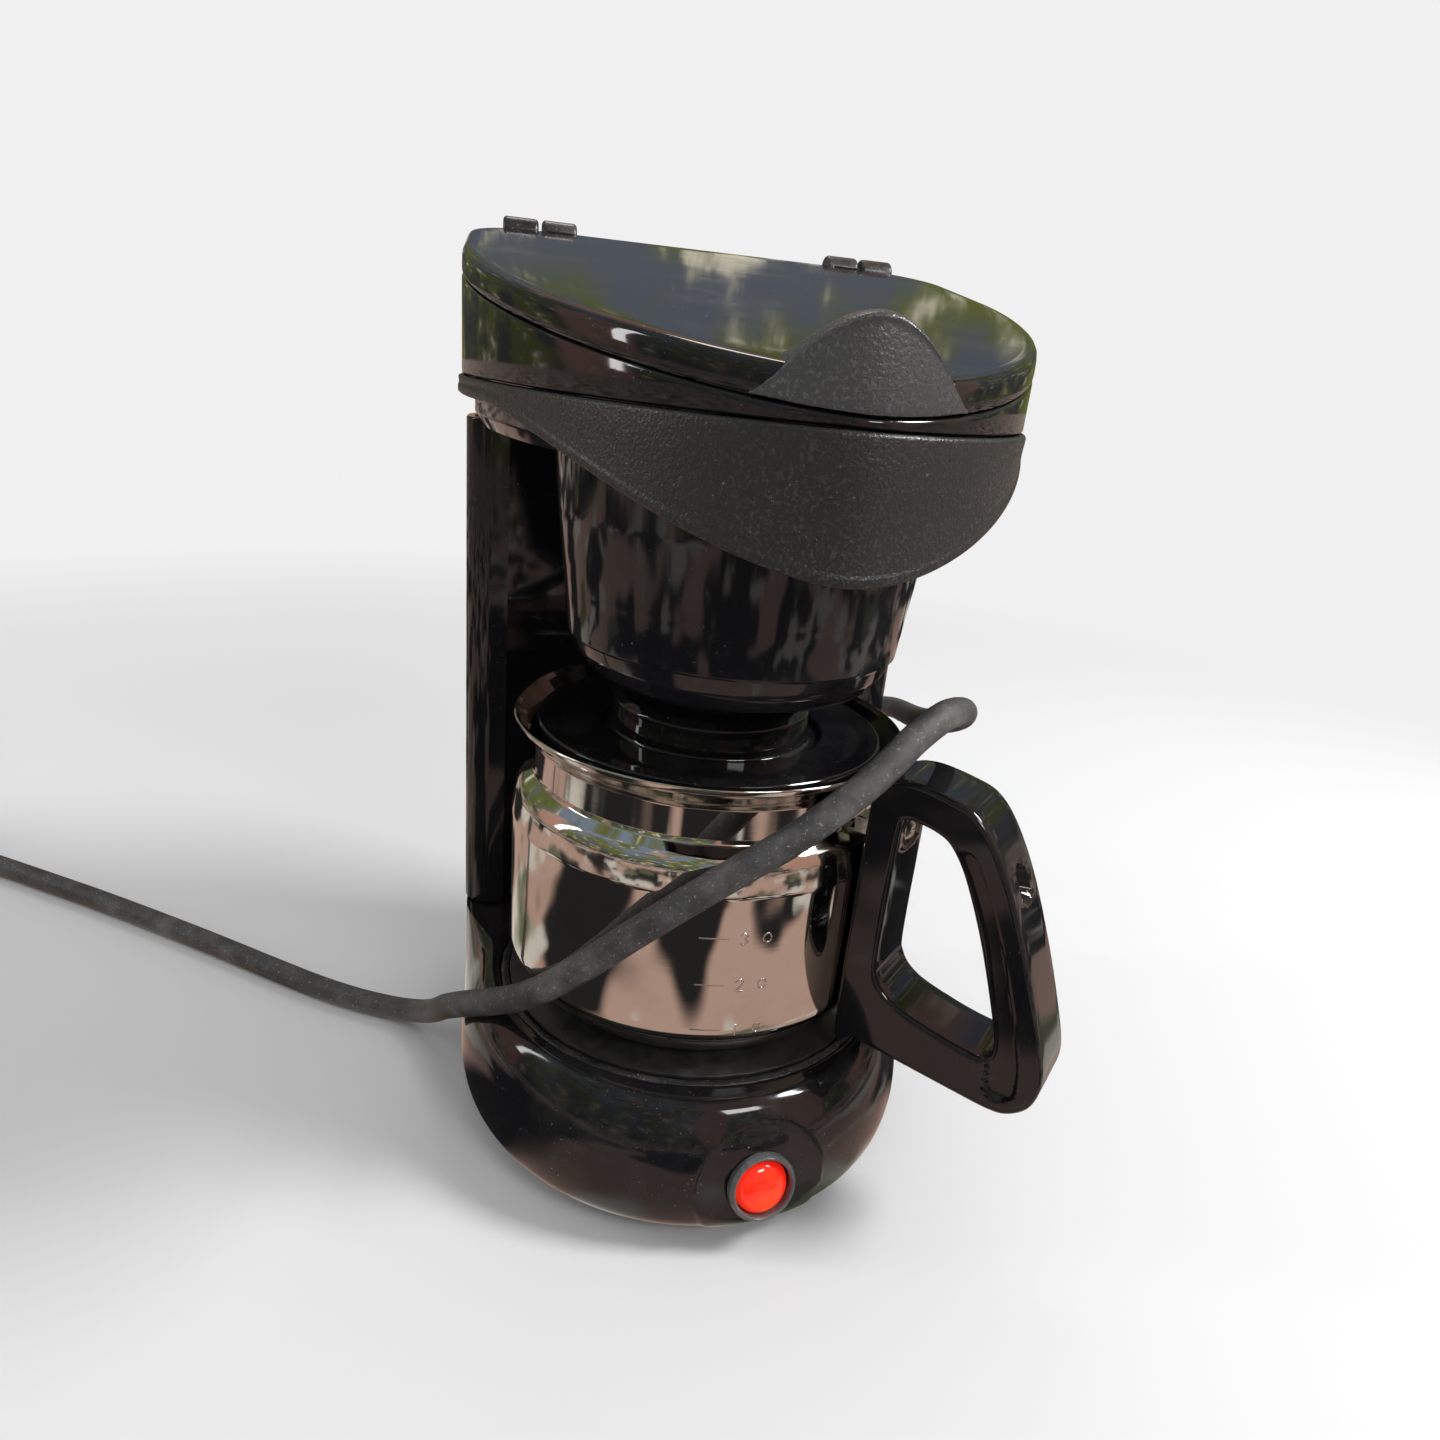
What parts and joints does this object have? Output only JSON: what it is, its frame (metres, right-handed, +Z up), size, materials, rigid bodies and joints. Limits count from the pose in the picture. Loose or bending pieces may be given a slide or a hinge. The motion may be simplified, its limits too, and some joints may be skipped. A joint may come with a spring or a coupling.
{
  "type": "drip coffee maker",
  "caption": "Small black drip coffee maker with a steel carafe on its warming plate, a sloped flip-up lid, a hanging filter basket, a lit rocker switch and a power cord.",
  "frame": {"origin": "on the floor plane, under the centre of the machine's bounding box measured without the free cord and plug", "axes": "+Z up, -Y the machine's front with the switch and the carafe, +X the machine's right as seen from the front"},
  "size_m": [0.4348, 0.3006, 0.2623],
  "materials": {
    "gloss_black": "gloss black moulded plastic",
    "grained_black": "fine-grained matt black plastic",
    "matte_black": "satin black plastic",
    "tank_plastic": "smoke-grey plastic",
    "steel": "mirror-polished stainless steel",
    "plate_black": "black non-stick coated steel",
    "aluminium": "bare cast aluminium",
    "silicone": "translucent white silicone",
    "rubber": "dark grey rubber",
    "brass": "bright brass",
    "switch_grey": "dark grey satin plastic",
    "lens_red": "clear red glossy plastic",
    "lamp_glass": "clear glass neon lamp"
  },
  "bodies": {
    "machine": {"base_housing": "gloss_black", "tower_housing": "gloss_black", "head_housing": "gloss_black", "basket_funnel": "gloss_black", "textured_band": "grained_black", "bottom_cover": "grained_black", "water_tank": "tank_plastic", "cover_screw_1": "steel", "cover_screw_2": "steel", "cover_screw_3": "steel", "hinge_pin_left": "steel", "hinge_pin_right": "steel", "thermostat_bracket": "steel", "warming_plate": "plate_black", "heater": "aluminium", "thermostat": "aluminium", "plate_gasket": "silicone", "inlet_hose": "silicone", "riser_hose": "silicone", "check_valve": "silicone", "thermal_fuse": "silicone", "foot_front_left": "rubber", "foot_front_right": "rubber", "foot_rear_left": "rubber", "foot_rear_right": "rubber", "power_cord": "rubber", "strain_relief": "rubber", "plug_body": "rubber", "plug_blade_left": "brass", "plug_blade_right": "brass", "switch_bezel": "switch_grey", "switch_body": "switch_grey", "indicator_lamp": "lamp_glass"},
    "lid": {"lid": "gloss_black", "spray_head": "matte_black"},
    "basket": {"filter_basket": "matte_black", "drip_stop_spring": "steel"},
    "drip_stop": {"drip_stop_plunger": "matte_black", "drip_stop_seal": "silicone"},
    "carafe": {"carafe_body": "steel", "carafe_handle": "gloss_black", "handle_screw": "steel", "handle_bracket": "steel"},
    "carafe_lid": {"carafe_lid": "matte_black"},
    "rocker": {"switch_rocker": "lens_red"}
  },
  "joints": [
    {"name": "lid_hinge", "type": "hinge", "parent": "machine", "child": "lid", "pos_m": [-0.00896, 0.0773, 0.258], "axis": [-1, 0, 0], "range_deg": [0, 100]},
    {"name": "basket_lift", "type": "slide", "parent": "machine", "child": "basket", "axis": [0, 0, 1], "range_m": [0, 0.062]},
    {"name": "drip_stop_lift", "type": "slide", "parent": "basket", "child": "drip_stop", "axis": [0, 0, 1], "range_m": [0, 0.003], "stiffness_N_per_m": 120, "springref_m": -0.002, "deforming": ["drip_stop_spring"]},
    {"name": "carafe_slide", "type": "slide", "parent": "machine", "child": "carafe", "axis": [0, -1, 0], "range_m": [0, 0.15], "deforming": ["power_cord"]},
    {"name": "carafe_lid_turn", "type": "hinge", "parent": "carafe", "child": "carafe_lid", "pos_m": [-0.00896, 0.0003, 0.128], "axis": [0, 0, 1], "range_deg": [0, 90]},
    {"name": "switch_rock", "type": "hinge", "parent": "machine", "child": "rocker", "pos_m": [0.00214, -0.0721, 0.021], "axis": [0.9885, 0.1513, 0], "range_deg": [0, 10]}
  ],
  "couplings": [
    {"joint": "basket_lift", "follows": "lid_hinge", "m_per_rad": 0.034377}
  ]
}
